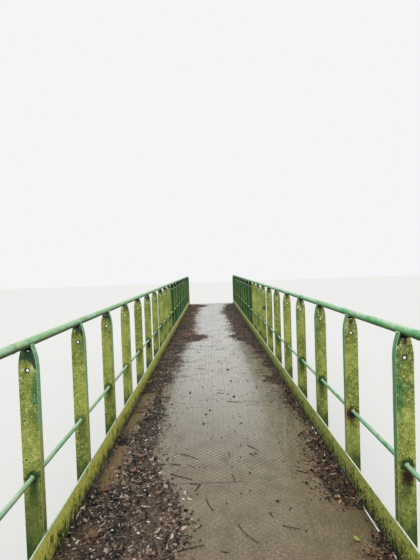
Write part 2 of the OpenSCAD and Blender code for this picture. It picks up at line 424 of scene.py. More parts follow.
def paintPosts():
    look = postLook
    f = Finish("postPaint", look, ior=1.45, shine=0.35)
    x, y, z = f.split(f.place)
    # Where a point lies on its post and which way it looks
    side = f.math("SIGN", x)
    across = abs(x) - postX
    height = z - deckZ
    number = f.math("ROUND", y / bay)
    along = abs(y - number * bay)
    nx, ny = f.normal()[:2]
    outward = nx * side
    post = f.node("ShaderNodeCombineXYZ", {0: number, 1: side}).outputs[0]
    chance = Level(f, f.node("ShaderNodeTexWhiteNoise", {"Vector": post}, noise_dimensions="2D").outputs[0])
    thickness = look["thickness"]
    webFace = abs(ny) > 0.5
    shallow = along < postHalfDepth - thickness
    webInside = webFace * shallow
    facesIn = outward * across < -0.001
    recess = f.either(webInside, facesIn * (abs(across) < postHalf - thickness))
    walkFace = (outward < -0.5) * (across < thickness - postHalf * 0.4)
    # Algae, speckled and streaked
    broad = f.noise(7, 4, 0.6, (1, 1, 0.5))
    middling = f.noise(22, 4, 0.7, (1, 1, 0.6))
    fine = f.noise(70, 4, 0.75)
    grit = f.noise(150, 3, 0.7)
    streak = f.noise(60, 3, 0.6, (1, 1, 0.1))
    f.colour = f.mix(f.band(broad, 0.42, 0.58), "deepAlgae", "algae")
    f.lay(f.band(fine, 0.48, 0.58) * 0.75, "paleAlgae")
    f.lay(f.band(streak, 0.55, 0.72) * 0.35, "deepAlgae")
    f.lay(f.band(middling, 0.5, 0.62) * 0.5, "deepAlgae")
    spotted = f.band(f.noise(11, 3) + (chance - 0.5) * 0.15, 0.4, 0.6, 0.15, 0.85)
    f.lay(f.band(grit, 0.5, 0.6) * spotted, "speckle")
    # Bare paint and pale flakes, more of them higher up
    uneven = (chance - 0.5) * 0.4
    upper = f.band(height + uneven, 0.5, 0.95)
    walkward = f.band(across, postHalf * 0.5, -postHalf)
    worn = f.noise(17, 6, 0.8, (1, 1, 0.6)) + upper * f.band(walkward, 0.0, 1.0, 0.0, 0.2)
    bare = f.band(worn, 0.6, 0.68)
    paintTone = f.mix(f.band(fine, 0.4, 0.62), "darkPaint", "paint")
    f.lay(bare * f.band(height, 0.35, 0.75, 0.35, 0.8), paintTone)
    top = f.band(height + uneven * 0.15, 0.8, 0.93)
    flakes = f.band(f.noise(34, 4, 0.75), 0.55, 0.6) * top
    f.lay(flakes * 0.85, "flake")
    # Dark round the small hole and up from it
    fromHole = f.hypot(across, height - look["holeHeight"])
    f.lay(f.band(fromHole, 0.016, 0.009) * 0.85, "pit")
    runDown = f.band(abs(across + (fine - 0.5) * 0.03), 0.016, 0.004) * f.band(height, 0.875, 0.94)
    f.lay(runDown * 0.85, "pit")
    # The flanges that face the walkway, cleaner towards the top
    reachDown = height + (broad - 0.5) * 0.5
    onRight = x > 0.0
    lowFlange = walkFace * (1.0 - onRight) * f.band(height, 0.06, 0.16)
    f.lay(lowFlange * f.band(fine, 0.35, 0.6, 0.3, 0.8), "lowFlange")
    cleaner = walkFace * f.band(reachDown + onRight * 0.22, 0.52, 0.66)
    clean = f.mix(onRight, f.mix(f.band(fine, 0.42, 0.58), "paleFlange", "flange"),
                  f.mix(f.band(fine, 0.42, 0.58), "flange", "paint"))
    f.lay(cleaner * 0.9, clean)
    # Pits, spots and glints
    pits = f.band(f.cells(95), 0.3, 0.16) * f.band(f.noise(8, 2), 0.42, 0.64)
    f.lay(pits * 0.85, "pit")
    spots = f.band(f.cells(40), 0.22, 0.12) * f.band(f.noise(12, 2), 0.5, 0.58)
    f.lay(spots, "pit")
    glints = f.band(f.cells(55, (1, 1, 0.8)), 0.12, 0.07) * f.band(f.noise(17, 2), 0.52, 0.62)
    f.lay(glints, "flake")
    # Moss round the hole of the middle rail, below it and at the foot
    down = height - (midrailZ - deckZ)
    ragged = (fine - 0.5) * 0.05
    ring = f.band(f.hypot(across, down) + ragged, look["ringRadius"], look["ringRadius"] * 0.45)
    below = f.band(abs(across + ragged), 0.03, 0.01) * f.band(down, 0.01, -0.01) * f.band(down, -0.2, -0.04)
    mossy = f.either(ring, below * 0.85) * f.band(chance, 0.1, 0.7, 0.55, 1.0)
    f.lay(mossy, "moss")
    foot = f.band(height + (middling - 0.5) * 0.4, look["footHeight"] + 0.08, look["footHeight"] - 0.05)
    f.lay(foot * 0.8, "moss")
    lowDamp = f.band(height + ragged, 0.4, 0.22) * f.band(chance, 0.6, 0.9)
    f.lay(lowDamp * f.band(fine, 0.44, 0.56, 0.15, 0.6), "moss")
    wet = f.either(mossy, foot)
    # Rust spots, each with a darker core
    for spotSide, station, spotHeight, spotAcross, size in rustPlaces:
        here = abs(number - (station - middlePost)) + abs(side - spotSide) < 0.5
        spread = f.hypot(across - spotAcross, (height - spotHeight) * 0.75) + ragged * 1.3
        f.lay(f.band(spread, size, size * 0.55) * here * 0.9, "rust")
        f.lay(f.band(spread, size * 0.7, size * 0.3) * here, "rustCore")
    # The inside of the channel, bare dark paint without algae darkened further as painted shade, and the
    # painted shade under the handrail
    shade = f.mix(f.band(fine, 0.35, 0.7), "recess", "darkPaint")
    shade = f.mix(f.band(broad, 0.5, 0.7) * 0.6, shade, "deepAlgae")
    f.lay(recess * 0.93, shade)
    # A dark strip at the top of the web, just under the handrail: painted shade
    kept = height + (middling - 0.5) * 0.1 + (chance - 0.5) * 0.05 + f.band(across, 0.0, -postHalf, 0.0, 0.035)
    railShadeMask = f.band(kept - onRight * 0.03, 0.924, 0.93) * (1.0 - walkFace) * webFace
    f.lay(railShadeMask * 0.9, "sheltered")
    # Tips and rims of the flanges; the pale rim along the walkway flange's edge is a painted highlight
    tipFace = webFace * (abs(across) > postHalf - look["tipWidth"])
    tipFace = tipFace * (along > postHalfDepth - 0.001) * (y > 0.1)
    f.lay(tipFace * 0.55, "paint")
    # Painted highlight along the corner of the flange that faces the walkway
    rim = walkFace * f.band(along, postHalfDepth - 0.005, postHalfDepth - 0.001) * f.band(broad, 0.28, 0.42)
    f.lay(rim * 0.8, "edge")
    roughness = f.band(fine + wet * 0.3, 0.3, 0.9, 0.5, 0.85)
    f.press(broad, 0.004, 0.25)
    f.press(fine, 0.002, 0.6)
    f.press(grit, 0.001, 0.5)
    f.press(1.0 - pits, 0.001, 0.6)
    return f.done(roughness)


# Toe plates: algae all over, black moss and peeling growing up from the lower edge
toeLook = {
    "worn": (84, 116, 60),
    "moss": (42, 52, 16),
    "black": (16, 18, 10),
    "flake": (140, 196, 214),
    "lean": math.radians(24),
}
# What differs between the left and the right one: the left one's tones are painted lighter, as painted light on
# a plate that the lamps leave in shade
toeSidesWithPaintedLight = {
    -1: {"algae": (228, 228, 98), "deepAlgae": (176, 174, 60), "paleAlgae": (248, 248, 156),
         "topEdge": (204, 232, 222), "squash": 0.42},
    1: {"algae": (168, 178, 82), "deepAlgae": (110, 120, 44), "paleAlgae": (206, 212, 126),
        "topEdge": (240, 246, 230), "squash": 0.75},
}


def paintToePlates(side, name):
    look = {**toeLook, **toeSidesWithPaintedLight[side]}
    f = Finish(name, look, ior=1.45, shine=0.35)
    height = f.split(f.place)[2] - toeLow.z
    tall = toeHigh.z - toeLow.z
    broad = f.noise(5, 4, 0.65)
    fine = f.noise(60, 4, 0.75)
    grit = f.noise(130, 3, 0.7)
    upper = f.band(height + (broad - 0.5) * 0.12, tall * 0.25, tall * 0.75)
    f.colour = f.mix(upper, "deepAlgae", "algae")
    walkSide = f.normal()[0] * side < 0.5
    bright = f.band(walkSide, 0.0, 1.0, 0.45, 1.0)
    f.lay(f.band(fine, 0.48, 0.58) * 0.8 * bright, "paleAlgae")
    f.lay(f.band(grit, 0.52, 0.6) * 0.7, "deepAlgae")
    f.lay(0.5 - walkSide * 0.5, "worn")
    # Moss in slanted strokes, thicker towards the lower edge
    slanted = f.node("ShaderNodeMapping", {"Vector": f.place, "Rotation": (look["lean"], 0, 0)}).outputs[0]
    squash = look["squash"]
    strokes = f.noise(34, 4, 0.8, (1, 1, squash), slanted)
    lowness = f.band(height, tall * 0.95, 0.0)
    moss = f.band(strokes + lowness * 0.09, 0.575, 0.605)
    f.lay(moss * 0.85, "moss")
    clumps = f.noise(62, 3, 0.75, (1, 1, squash * 1.2), slanted) + lowness * 0.1
    blackMoss = f.band(clumps, 0.62, 0.65)
    f.lay(blackMoss, "black")
    hem = f.band(height + (fine - 0.5) * 0.04, 0.024, 0.006)
    f.lay(hem * 0.85, "moss")
    peeled = f.band(f.noise(26, 3, 0.7), 0.64, 0.67) * f.band(height, 0.07, 0.02)
    f.lay(peeled, "flake")
    top = f.band(height, tall - 0.006, tall - 0.002) * f.band(f.noise(4, 3), 0.25, 0.45)
    f.lay(top * 0.9, "topEdge")
    roughness = f.band(fine, 0.3, 0.8, 0.55, 0.85)
    f.press(fine, 0.002, 0.6)
    f.press(moss, 0.003, 0.7)
    return f.done(roughness)


# Where two lengths of handrail are welded together
ringLook = {"places": (-6.22, -0.22, 5.78), "apart": 6.0, "proud": 0.0014, "length": 0.009, "bevel": 0.003,
            "facets": 40}

# Rails: paint that keeps its gloss on the right and is bleached on the left, dirty below and darkened below as
# painted shade.
# Each has its tones from straight down to straight up, running from painted shade underneath to a painted
# highlight on top
railLooks = {
    "handrail_left": {
        "rough": 0.5, "deep": 0.35, "seam": 0.95, "chalk": 0.6,
        "shadeToHighlightTones": [(0.0, (44, 66, 30)), (0.3, (66, 90, 44)), (0.45, (112, 144, 84)), (0.62, (138, 188, 130)),
                  (0.9, (158, 206, 152)), (1.0, (186, 212, 164))]},
    "handrail_right": {
        "rough": 0.32, "deep": 0.8, "seam": 0.6, "chalk": 0.15,
        "shadeToHighlightTones": [(0.0, (26, 56, 30)), (0.28, (32, 82, 42)), (0.42, (56, 130, 72)), (0.6, (88, 164, 104)),
                  (0.84, (120, 188, 136)), (0.97, (190, 220, 190))]},
    "midrail_left": {
        "rough": 0.5, "deep": 0.4, "seam": 0.0, "chalk": 0.3,
        "shadeToHighlightTones": [(0.0, (46, 70, 38)), (0.35, (72, 104, 60)), (0.5, (118, 166, 112)), (0.8, (150, 194, 150)),
                  (1.0, (184, 216, 184))]},
    "midrail_right": {
        "rough": 0.38, "deep": 0.7, "seam": 0.0, "chalk": 0.3,
        "shadeToHighlightTones": [(0.0, (26, 60, 34)), (0.35, (40, 88, 50)), (0.5, (72, 138, 88)), (0.75, (108, 174, 124)),
                  (0.97, (164, 202, 168))]},
}


def paintRail(name, look):
    f = Finish(name + "Paint", ior=1.5, shine=0.45)
    nz = f.normal()[2]
    patchy = f.noise(11, 4, 0.65, (1, 0.35, 1))
    fine = f.noise(70, 3, 0.7)
    # Painted shade and highlight: darker where the surface faces down, lighter where it faces up
    tilt = nz * 0.5 + (patchy - 0.5) * 0.35
    f.colour = f.ramp(tilt + 0.5, look["shadeToHighlightTones"])
    f.lay(f.band(fine, 0.52, 0.68) * 0.4, (150, 160, 140), "MULTIPLY")
    deeper = f.band(f.noise(8, 3, 0.6, (1, 0.5, 1)), 0.52, 0.6)
    f.lay(deeper * look["deep"], (140, 218, 150), "MULTIPLY")
    algae = f.band(f.noise(19, 4, 0.7, (1, 0.5, 1)), 0.54, 0.64) * f.band(nz, 0.6, -0.2)
    f.lay(algae * 0.6, (112, 132, 46))
    crust = f.band(f.noise(27, 4, 0.75, (1, 0.5, 1)), 0.55, 0.62) * f.band(nz, -0.1, 0.5)
    f.lay(crust * 0.55, (206, 212, 158))
    chalk = f.band(f.noise(14, 4, 0.75, (1, 0.45, 1)), 0.5, 0.58) * f.band(nz, -0.1, 0.4)
    f.lay(chalk * look["chalk"], (184, 218, 206))
    y = f.split(f.place)[1]
    fromSeam = f.math("PINGPONG", y - ringLook["places"][1], ringLook["apart"] / 2)
    seam = f.band(fromSeam, 0.01, 0.0065) * f.band(fromSeam, 0.0035, 0.0055)
    f.lay(seam * f.band(fine, 0.35, 0.5, 0.4, 1.0) * look["seam"], (30, 44, 28))
    chips = f.band(f.cells(60, (1, 0.6, 1)), 0.1, 0.05) * f.band(fine, 0.5, 0.6)
    f.lay(chips * 0.8, (40, 62, 40))
    roughness = f.band(patchy, 0.3, 0.75, look["rough"], look["rough"] + 0.25)
    f.press(fine, 0.0006, 0.35)
    return f.done(roughness)


# Beams and bearers: old dark green paint, rust breaking through it, algae on the outer faces
beamLook = {
    "paint": (52, 84, 50),
    "fadedPaint": (84, 112, 66),
    "algae": (108, 120, 46),
    "rust": (104, 58, 32),
    "darkRust": (58, 34, 24),
}


def paintBeams():
    f = Finish("beamPaint", beamLook, ior=1.45, shine=0.35)
    z = f.split(f.place)[2]
    broad = f.noise(2.6, 5, 0.6)
    runs = f.noise(26, 4, 0.65, (1, 1, 0.12))
    fine = f.noise(60, 4, 0.7)
    f.colour = f.mix(f.band(broad, 0.35, 0.65), "paint", "fadedPaint")
    f.lay(f.band(runs, 0.48, 0.7) * 0.75, "algae")
    lowEdge = f.band(z - beamLow.z, 0.06, 0.0)
    rusty = f.band(f.noise(8, 5, 0.7) + lowEdge * 0.12, 0.58, 0.66)
    f.lay(rusty, f.mix(f.band(fine, 0.35, 0.65), "rust", "darkRust"))
    roughness = f.band(fine, 0.3, 0.75, 0.55, 0.75) + rusty * 0.15
    f.press(fine, 0.0012, 0.5)
    f.press(rusty, 0.0015, 0.5)
    return f.done(roughness)


def paintBearings():
    f = Finish("bearingRust", ior=1.4, shine=0.3)
    fine = f.noise(50, 5, 0.7)
    f.colour = f.ramp(fine, [(0.3, (44, 28, 22)), (0.55, (92, 52, 32)), (0.75, (136, 84, 46))])
    f.press(fine, 0.002, 0.6)
    return f.done(f.band(fine, 0.3, 0.7, 0.6, 0.9))


# Concrete: pale cement, grey-green damp at the foot, dark runs under the edges, air holes and board marks
concreteLook = {
    "pale": (206, 204, 192),
    "cement": (158, 154, 140),
    "grey": (122, 120, 108),
    "damp": (78, 82, 58),
    "moss": (70, 82, 34),
    "boardHeight": 0.15,
}


def paintConcrete():
    look = concreteLook
    f = Finish("weatheredConcrete", look, ior=1.45, shine=0.3)
    z = f.split(f.place)[2]
    nz = f.normal()[2]
    broad = f.noise(1.8, 5, 0.6)
    middling = f.noise(11, 5, 0.65)
    fine = f.noise(90, 4, 0.7)
    runs = f.noise(9, 4, 0.6, (1, 1, 0.1))
    f.colour = f.mix(f.band(broad, 0.35, 0.65), "cement", "grey")
    f.lay(f.band(middling, 0.5, 0.7) * 0.2, "pale")
    f.lay(f.band(fine, 0.5, 0.6) * 0.35, "grey")
    f.lay(f.band(fine, 0.46, 0.4) * 0.25, "pale")
    washedTop = f.band(nz, 0.3, 0.7) * f.band(z, deckZ - 0.05, deckZ - 0.02)
    f.lay(washedTop * f.band(middling, 0.3, 0.6), "pale")
    f.lay(f.band(runs, 0.52, 0.68) * (1.0 - washedTop) * 0.75, "damp")
    level = z + (broad - 0.5) * 0.7
    f.lay(f.band(level, 0.55, 0.1) * 0.85, "damp")
    mossy = f.band(f.noise(16, 4, 0.7), 0.54, 0.66)
    mossy = mossy * f.either(f.band(level, 0.4, 0.05), f.band(nz, 0.3, 0.8) * 0.7)
    f.lay(mossy * (1.0 - washedTop * 0.8), "moss")
    holes = f.band(f.cells(26), 0.12, 0.06) * f.band(nz, 0.4, 0.2)
    f.lay(holes * 0.7, "damp")
    boards = f.band(f.math("PINGPONG", z, look["boardHeight"] / 2), 0.003, 0.0)
    roughness = f.band(fine, 0.3, 0.7, 0.75, 0.95) - washedTop * 0.35
    f.press(fine, 0.002, 0.4)
    f.press(1.0 - holes, 0.004, 0.7)
    f.press(boards, 0.003, 0.5)
    return f.done(roughness)


studSteel = paintDeck("treadStuds", True)
railPaints = {name: paintRail(name, look) for name, look in railLooks.items()}
coat(paintDeck("wetTreadPlate", False), "tread_plate")
coat(paintPosts(), "post_pair")
coat(paintToePlates(-1, "leftToePaint"), "toe_plates_left")
coat(paintToePlates(1, "rightToePaint"), "toe_plates_right")
coat(paintBeams(), "main_beam", "outrigger_plates", "cross_bearers")
coat(paintBearings(), "bearing_plates")
coat(paintConcrete(), "abutment")
coat(railPaints["midrail_right"], "rail_end_caps")
for railName, railPaint in railPaints.items():
    coat(railPaint, railName)
print("finishes on the packed nodes: done")


# Tread pattern: raised pointed studs, four to a square, turned to either side in turn
def addStuds(plateName):
    look = treadLook
    square, wide, tall = look["square"], look["studWidth"], look["studHeight"]
    low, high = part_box(plateName)
    across = math.floor((high.x - low.x) / square)
    along = math.floor((high.y - low.y) / square)
    firstX = (low.x + high.x - across * square) / 2
    firstY = (low.y + high.y - along * square) / 2
    shape = bmesh.new()
    for number, (right, far) in enumerate(((0, 0), (1, 0), (1, 1), (0, 1))):
        stud = cone(shape, 6, 0.5, 0, tall)
        bmesh.ops.scale(shape, vec=(wide / math.cos(math.pi / 6), look["studLength"], 1), verts=stud)
        place = (firstX + (right + 0.5) * square / 2, firstY + (far + 0.5) * square / 2,
                 high.z + tall / 2 - look["sunk"])
        bmesh.ops.transform(shape, matrix=placed(place, 45 if number % 2 else -45), verts=stud)
    studs = addPiece(plateName.replace("tread_plate", "treadStuds"), shape, studSteel)
    for count, step in ((across, (square, 0, 0)), (along, (0, square, 0))):
        rows = studs.modifiers.new("repeat", "ARRAY")
        rows.use_relative_offset = False
        rows.use_constant_offset = True
        rows.constant_offset_displace = step
        rows.count = count


for plateName in sorted(nodes):
    if plateName.startswith("tread_plate"):
        addStuds(plateName)
print("tread pattern: done")


# Leaf litter and dirt along both sides: how far in it reaches, as places (along the bridge, across it)
litterReach = {
    -1: [(-6.85, -0.20), (-6.0, -0.17), (-5.85, -0.14), (-5.6, -0.165), (-5.45, -0.22), (-5.3, -0.32),
         (-5.0, -0.375), (-4.6, -0.41), (-4.0, -0.44), (-3.5, -0.49), (-3.0, -0.455), (-1.5, -0.46),
         (-0.7, -0.42), (-0.45, -0.17), (-0.2, -0.06), (0.05, -0.17), (0.3, -0.38), (1.5, -0.38),
         (3.0, -0.42), (4.5, -0.40), (5.5, -0.45), (5.8, -0.25), (6.4, -0.22), (6.85, -0.5)],
    1: [(-6.85, 0.60), (-6.05, 0.63), (-5.93, 0.66), (-5.90, 0.80), (-5.75, 0.80), (-5.70, 0.60),
        (-5.45, 0.54), (-5.2, 0.57), (-4.9, 0.58), (-4.75, 0.615), (-4.6, 0.70), (-4.5, 0.69), (-4.2, 0.62),
        (-4.0, 0.60), (-3.85, 0.60), (-3.7, 0.66), (-3.4, 0.66), (-3.3, 0.54), (-3.1, 0.56), (-2.95, 0.64),
        (-2.3, 0.61), (-1.4, 0.58), (-0.9, 0.52), (-0.6, 0.40), (-0.25, 0.32), (0.1, 0.38), (1.0, 0.42),
        (2.0, 0.38), (2.5, 0.32), (4.5, 0.34), (5.3, 0.40), (5.9, 0.46), (6.3, 0.5), (6.6, 0.74),
        (6.85, 0.76)],
}
# Bare steel beside the toe plates: side, from and to along the bridge, how far in
bareSteel = [(-1, -5.35, -4.87, -0.655), (-1, -4.55, -4.0, -0.68), (-1, -3.95, -3.6, -0.65)]
# Where the slit beside the right toe plate is open to the light below
openSlits = [(-6.1, -5.55), (-4.75, -4.6), (-4.47, -4.43), (-4.1, -3.9), (-2.2, -2.0)]
soilLook = {
    "bed": 0.005,
    "heap": 0.011,
    "wedge": 0.008,
    "wedgeReach": 0.022,
    "rim": 0.09,
    "ragged": 0.035,
    "wander": 0.13,
    "sunk": 0.003,
    "open": 1.0,
    "thickness": 0.004,
    "slit": 0.0045,
    "columns": 30,
    "rowLength": 0.022,
    "toeGap": 0.0005,
    "endGap": 0.01,
    "crowding": 1.5,
    "mud": (48, 37, 28),
    "darkMud": (20, 15, 12),
    "paleMud": (108, 86, 68),
    "straw": (150, 124, 98),
}


def smooth(value, low, high):
    part = min(1, max(0, (value - low) / (high - low)))
    return part * part * (3 - 2 * part)


def reachAt(side, y):
    points = litterReach[side]
    for (y0, x0), (y1, x1) in zip(points, points[1:]):
        if y <= y1:
            return x0 + (x1 - x0) * max(0, (y - y0) / (y1 - y0))
    return points[-1][1]


# How far a place lies inside the litter's ragged edge, negative outside it
def insideLitter(side, x, y):
    look = soilLook
    ragged = look["ragged"] * noise.noise((x * 8, y * 8, side * 3))
    ragged += look["ragged"] * noise.noise((x * 27, y * 20, side * 7))
    ragged += look["wander"] * noise.noise((x * 2, y * 4.5, side * 5)) * smooth(y, -3.6, -2.2)
    inside = side * (x - reachAt(side, y)) + ragged
    for bareSide, start, end, edge in bareSteel:
        if side == bareSide:
            within = min(y - start, end - y, side * (edge - x) * -1) + ragged * 0.5
            inside = min(inside, -within)
    return inside


def soilHeight(side, x, y):
    look = soilLook
    cover = smooth(insideLitter(side, x, y), 0.015, look["rim"] + 0.02)
    lumps = 0.5 + 0.5 * noise.noise((x * 13, y * 13, 4)) + 0.3 * noise.noise((x * 42, y * 42, 9))
    height = -look["sunk"] * 1.5 + cover * (look["bed"] + look["heap"] * lumps)
    againstToe = smooth(toeLow.x - abs(x), look["wedgeReach"], 0.004)
    wedge = look["wedge"] * (1 + 0.4 * noise.noise((0, y * 22, side))) * againstToe
    height = max(height, wedge - look["sunk"])
    crumbed = noise.noise((0, y * 23, 5)) + 0.7 * noise.noise((0, y * 61, 9)) > -0.05
    inSlit = side > 0 and plateX - look["thickness"] < abs(x) < toeLow.x - look["slit"]
    if inSlit and not crumbed and any(start < y < end for start, end in openSlits):
        return -look["open"]
    return height


def addSoil(side, name):
    look = soilLook
    rows = round(2 * halfDeck / look["rowLength"])
    widest = toeLow.x - min(abs(x) for y, x in litterReach[side]) + look["rim"]
    shape = bmesh.new()
    bmesh.ops.create_grid(shape, x_segments=look["columns"], y_segments=rows, size=0.5)
    for vert in shape.verts:
        away = widest * (vert.co.x + 0.5) ** look["crowding"]
        vert.co.x = side * (toeLow.x - look["toeGap"] - away)
        vert.co.y *= 2 * (halfDeck - look["endGap"])
        vert.co.z = deckZ + soilHeight(side, vert.co.x, vert.co.y)
    sunk = deckZ - look["sunk"]
    hidden = [face for face in shape.faces if all(vert.co.z < sunk + 0.0005 for vert in face.verts)]
    bmesh.ops.delete(shape, geom=hidden, context="FACES")
    dropped = [vert for vert in shape.verts if vert.co.z < deckZ - look["open"] / 2]
    bmesh.ops.delete(shape, geom=dropped, context="VERTS")
    faceUp(shape)
    bed = addPiece(name, shape, wetMud, smooth=True).modifiers.new("bed", "SOLIDIFY")
    bed.thickness = look["thickness"]
    bed.offset = -1


def paintMud():
    f = Finish("wetMud", soilLook, ior=1.4, shine=0.5)
    broad = f.noise(9, 4, 0.6)
    fine = f.noise(110, 4, 0.7)
    f.colour = f.mix(f.band(fine, 0.35, 0.65), "darkMud", "mud")
    x, y = f.split(f.place)[:2]
    inMud = f.band(x, -0.5, -0.4) * f.band(x, -0.2, -0.28) * f.band(y, -5.35, -5.6)
    inMud = f.either(inMud, f.band(x, -0.6, -0.66) * f.band(y, -5.75, -5.95))
    f.lay(f.either(f.band(broad, 0.52, 0.66), inMud) * 0.75, "paleMud")
    fibres = f.noise(75, 4, 0.8, (0.5, 1, 1))
    f.lay(f.band(fibres, 0.5, 0.56) * 0.8, "darkMud")
    f.lay(f.band(fibres, 0.42, 0.36) * 0.6, "straw")
    f.press(f.noise(45, 3), 0.006, 0.7)
    f.press(fine, 0.004, 0.8)
    return f.done(f.band(fine, 0.3, 0.7, 0.35, 0.75))


wetMud = paintMud()
addSoil(-1, "soilLeft")
addSoil(1, "soilRight")
print("beds of dirt: done")


# Loose litter: fragments of leaf and twig strewn over the dirt by geometry nodes, a few beyond it
litterLook = {
    "columns": 31,
    "rowLength": 0.024,
    "toeGap": 0.004,
    "endGap": 0.02,
    "tilt": math.radians(32),
    "chips": {"density": 1900, "small": (0.45, 0.45, 0.6), "large": (1.7, 1.7, 1.7), "seed": 4},
    "shards": {"density": 3000, "small": (0.45, 0.4, 0.5), "large": (1.9, 1.5, 1.6), "seed": 11},
    "leaves": {"density": 1050, "small": (0.35, 0.35, 0.7), "large": (1.0, 1.0, 1.5), "seed": 23,
               "tilt": math.radians(46)},
    "curls": {"density": 45, "small": (0.5, 0.6, 0.7), "large": (1.3, 1.3, 1.3), "seed": 37},
    "flakes": {"density": 520, "small": (0.5, 0.5, 0.6), "large": (1.5, 1.3, 1.4), "seed": 67,
               "tilt": math.radians(58)},
    "fineCrumbs": {"density": 7500, "small": (0.4, 0.4, 0.5), "large": (1.5, 1.3, 1.5), "seed": 83},
    "bits": {"density": 70, "small": (0.3, 0.3, 0.5), "large": (1.5, 1.3, 1.5), "seed": 97},
    "stems": {"density": 75, "small": (0.4, 0.8, 0.8), "large": (1.3, 1.3, 1.3), "seed": 51,
              "tilt": math.radians(9)},
}


# Templates that are strewn: they are never placed in the scene themselves
def templates(name, material, shapes):
    made = [bpy.data.objects.new(f"{name}{n}", meshFrom(shape, f"{name}{n}")) for n, shape in enumerate(shapes)]
    for template in made:
        template.data.materials.append(material)
    return made


# How far a chip's corners stray, and what chips and shards measure against their length
pieceLook = {"stray": 0.16, "chipWidth": 0.55, "shardWidth": 0.5, "shardHeight": 0.16}


def chipShape(size, flat, seed):
    look = pieceLook
    chance = random.Random(seed)
    shape = bmesh.new()
    bmesh.ops.create_uvsphere(shape, u_segments=4, v_segments=2, radius=size / 2)
    for vert in shape.verts:
        stray = Vector((chance.uniform(-1, 1), chance.uniform(-1, 1), chance.uniform(-1, 1)))
        vert.co += stray * size * look["stray"]
    bmesh.ops.scale(shape, vec=(1, look["chipWidth"], flat), verts=shape.verts)
    return shape


def shardShape(size, lean):
    shape = bmesh.new()
    cone(shape, 3, size / 2, 0, size * pieceLook["shardHeight"])
    for vert in shape.verts:
        if vert.co.z > 0:
            vert.co.x += lean * size
    bmesh.ops.scale(shape, vec=(1, pieceLook["shardWidth"], 1), verts=shape.verts)
    return shape


# A leaf lies along X: curl bends it lengthwise, fold lifts its edges
leafLook = {"thickness": 0.0006, "tip": 0.06, "ragged": 0.9, "ripple": 0.12, "stray": 0.1}


def leafShape(length, width, curl, fold, seed=0, steps=6):
    look = leafLook
    shape = bmesh.new()
    bmesh.ops.create_grid(shape, x_segments=steps, y_segments=2, size=0.5)
    for vert in shape.verts:
        x, y = vert.co.x, vert.co.y
        half = math.sin(math.pi * (x + 0.5) ** 0.8) ** 0.7 if abs(x) < 0.49 else look["tip"]
        half *= 1 + look["ragged"] * noise.noise((x * 7, y * 3, seed * 1.7 + 0.5))
        lift = curl * length * (4 * x * x - 0.4) + fold * width * abs(y) * half
        lift += look["ripple"] * width * noise.noise((x * 5, y * 5, seed * 2.3 + 0.2))
        x += look["stray"] * noise.noise((x * 6, y * 9, seed + 0.7))
        vert.co = (x * length, y * width * half, lift)
    bmesh.ops.recalc_face_normals(shape, faces=shape.faces)
    bmesh.ops.solidify(shape, geom=shape.faces[:], thickness=look["thickness"])
    bmesh.ops.recalc_face_normals(shape, faces=shape.faces)
    return shape


# A thin stalk, bent a little
def stemShape(length, width, bend):
    shape = bmesh.new()
    cone(shape, 3, width / 2, width / 3, length)
    bmesh.ops.subdivide_edges(shape, edges=edgesAlong(shape), cuts=2)
    for vert in shape.verts:
        x, y, z = vert.co
        vert.co = (z, y + bend * length * (2 * z / length) ** 2, x)
    bmesh.ops.recalc_face_normals(shape, faces=shape.faces)
    return shape


# A grid over one half of the deck that says at each point how thick the litter lies
def litterField(side, strewn):
    look = litterLook
    shape = bmesh.new()
    rows = round(2 * halfDeck / look["rowLength"])
    bmesh.ops.create_grid(shape, x_segments=look["columns"], y_segments=rows, size=0.5)
    amounts = shape.verts.layers.float.new("amount")
    for vert in shape.verts:
        x = side * (vert.co.x + 0.5) * (toeLow.x - look["toeGap"])
        y = vert.co.y * 2 * (halfDeck - look["endGap"])
        vert.co = (x, y, deckZ + max(0.0005, soilHeight(side, x, y)))
        vert[amounts] = strewn(side, x, y)
    faceUp(shape)
    return shape


# Patches of bare mud in the left bed: middle across and along, half the width and length
mudPatches = [(-0.36, -5.75, 0.13, 0.32), (-0.68, -6.25, 0.07, 0.5)]


def muddyAt(x, y, patch):
    midX, midY, halfX, halfY = patch
    return smooth(math.hypot((x - midX) / halfX, (y - midY) / halfY), 1.1, 0.6)


def chipAmount(side, x, y):
    inside = insideLitter(side, x, y)
    patchy = 0.75 + 0.8 * noise.noise((x * 6, y * 6, 2))
    nearness = 1 - 0.35 * smooth(y, -3.5, 1.5)
    beside = smooth(toeLow.x - abs(x), 0.05, 0.0) * 0.4
    spilt = (0.07 + 0.07 * smooth(y, -4, -2)) * smooth(inside, -0.15, 0)
    muddy = max(muddyAt(x, y, patch) for patch in mudPatches)
    if side > 0:
        patchy += 0.7 * smooth(y, -5.6, -5.9)
    thick = nearness * patchy * smooth(inside, -0.02, 0.05) * (1 - 0.4 * muddy)
    return max(0, thick + spilt + beside * 0.4 + 0.002)


def stemAmount(side, x, y):
    inside = insideLitter(side, x, y)
    further = 1 + 2.2 * smooth(y, -4.7, -3.9)
    return further * smooth(inside, -0.07, -0.005) * (1 - 0.75 * smooth(inside, 0.02, 0.1))


def leafAmount(side, x, y):
    patchy = max(0, 0.75 + 1.1 * noise.noise((x * 3, y * 3, 12)))
    fewer = (1 - 0.85 * smooth(y, -4.8, -3.2)) * (1 - 0.8 * muddyAt(x, y, mudPatches[1]))
    return smooth(insideLitter(side, x, y), -0.02, 0.06) * patchy * fewer


# Large upright flakes, only where the litter is seen from far off
def flakeAmount(side, x, y):
    patchy = max(0, 0.8 + 1.1 * noise.noise((x * 5, y * 3, 27)))
    return smooth(insideLitter(side, x, y), -0.02, 0.05) * patchy * smooth(y, -4.4, -3.4)


